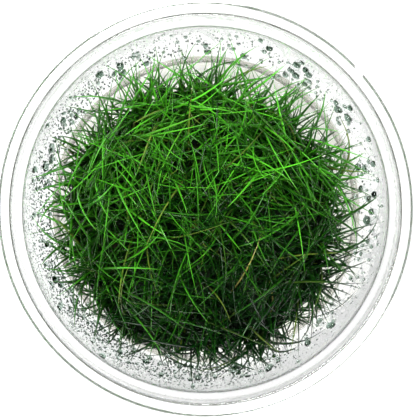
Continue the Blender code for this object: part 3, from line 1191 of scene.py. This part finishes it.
class StageSettings(bpy.types.PropertyGroup):
    camera_height: bpy.props.FloatProperty(
        name="Camera height",
        description="Height of the camera over the floor",
        default=0.51,
        min=0.1,
        unit="LENGTH",
    )
    lens: bpy.props.FloatProperty(
        name="Lens",
        description="Focal length in millimetres",
        default=161.3,
        min=10.0,
        unit="CAMERA",
    )
    floor_light: bpy.props.FloatProperty(
        name="Floor light",
        description="Strength of the even light under the milky floor",
        default=0.8,
        min=0.0,
    )
    sky: bpy.props.FloatProperty(
        name="Sky", description="Strength of the light from all round", default=0.2, min=0.0
    )
    key: bpy.props.FloatProperty(
        name="Key light",
        description="Power of the soft light over the cup",
        default=19.0,
        min=0.0,
        unit="POWER",
    )
    side: bpy.props.FloatProperty(
        name="Side light",
        description="Power of the soft light in front of the cup",
        default=16.0,
        min=0.0,
        unit="POWER",
    )


class CULTURECUP_OT_stage(bpy.types.Operator):
    """Set up the white floor, the soft lights and the camera that looks straight down"""

    bl_idname = "culturecup.stage"
    bl_label = "Stage"

    def execute(self, context):
        scene = context.scene
        settings = scene.culture_stage
        self.add_floor(settings)
        self.add_sky(scene, settings)
        self.add_light("key_light", KEY_PLACE, settings.key)
        self.add_light("side_light", SIDE_PLACE, settings.side)
        self.add_camera(scene, settings)
        scene.view_settings.view_transform = "Standard"
        scene.cycles.max_bounces = BOUNCES
        scene.cycles.transmission_bounces = BOUNCES
        scene.cycles.glossy_bounces = BOUNCES
        return {"FINISHED"}

    def add_floor(self, settings):
        finish = Finish("white_floor")
        finish.set(
            Base_Color=FLOOR_COLOUR,
            Roughness=0.7,
            Emission_Color=WHITE,
            Emission_Strength=settings.floor_light,
        )
        mesh = bpy.data.meshes.new("floor")
        sides = ((-1, -1), (1, -1), (1, 1), (-1, 1))
        corners = [(x * FLOOR_HALF, y * FLOOR_HALF, FLOOR_LIFT) for x, y in sides]
        mesh.from_pydata(corners, [], [(0, 1, 2, 3)])
        mesh.materials.append(finish.material)
        floor = bpy.data.objects.new("floor", mesh)
        bpy.context.scene.collection.objects.link(floor)

    def add_sky(self, scene, settings):
        """An even studio sky, bright at the horizon and dim straight above."""
        sky = bpy.data.worlds.new("studio")
        sky.use_nodes = True
        nodes = Nodes(sky.node_tree)
        inputs = {0: nodes.add("ShaderNodeTexCoord"), 1: (0.0, 0.0, 1.0)}
        up = nodes.add("ShaderNodeVectorMath", {"operation": "DOT_PRODUCT"}, inputs, output=1)
        stops = [(place, (grey, grey, grey, 1.0)) for place, grey in SKY_STOPS]
        background = sky.node_tree.nodes["Background"]
        ramp = nodes.add("ShaderNodeValToRGB", {"stops": stops}, {0: up})
        nodes.feed(background.inputs["Color"], ramp)
        nodes.feed(background.inputs["Strength"], settings.sky)
        scene.world = sky

    def add_light(self, name, place, power):
        """A soft round light that shines on the cup."""
        light = bpy.data.lights.new(name, "AREA")
        light.shape = "DISK"
        light.size = LIGHT_WIDTH
        light.energy = power
        lamp = bpy.data.objects.new(name, light)
        lamp.location = place
        lamp.rotation_euler = (lamp.location * -1.0).to_track_quat("-Z", "Y").to_euler()
        bpy.context.scene.collection.objects.link(lamp)

    def add_camera(self, scene, settings):
        data = bpy.data.cameras.new("camera")
        data.lens = settings.lens
        data.clip_start = CAMERA_CLIP
        camera = bpy.data.objects.new("camera", data)
        camera.location = (*CAMERA_ASIDE, settings.camera_height)
        scene.collection.objects.link(camera)
        scene.camera = camera


# The add-on: each operator with the name and the group of its settings

PARTS = (
    (CULTURECUP_OT_cup, "culture_cup", CupSettings),
    (CULTURECUP_OT_gel, "culture_gel", GelSettings),
    (CULTURECUP_OT_grass, "culture_grass", GrassSettings),
    (CULTURECUP_OT_drops, "culture_drops", DropSettings),
    (CULTURECUP_OT_stage, "culture_stage", StageSettings),
)


class CULTURECUP_PT_parts(bpy.types.Panel):
    """The cup's pieces, each with its settings"""

    bl_idname = "CULTURECUP_PT_parts"
    bl_label = "Culture cup"
    bl_space_type = "VIEW_3D"
    bl_region_type = "UI"
    bl_category = "Culture cup"

    def draw(self, context):
        for operator, name, group in PARTS:
            box = self.layout.box()
            settings = getattr(context.scene, name)
            for setting in group.__annotations__:
                box.prop(settings, setting)
            box.operator(operator.bl_idname)


def register():
    for operator, name, group in PARTS:
        bpy.utils.register_class(group)
        setattr(bpy.types.Scene, name, bpy.props.PointerProperty(type=group))
        bpy.utils.register_class(operator)
    bpy.utils.register_class(CULTURECUP_PT_parts)


def unregister():
    bpy.utils.unregister_class(CULTURECUP_PT_parts)
    for operator, name, group in reversed(PARTS):
        bpy.utils.unregister_class(operator)
        delattr(bpy.types.Scene, name)
        bpy.utils.unregister_class(group)


def main():
    register()
    bpy.ops.culturecup.cup()
    bpy.ops.culturecup.gel()
    bpy.ops.culturecup.grass()
    bpy.ops.culturecup.drops()
    bpy.ops.culturecup.stage()


if __name__ == "__main__":
    main()
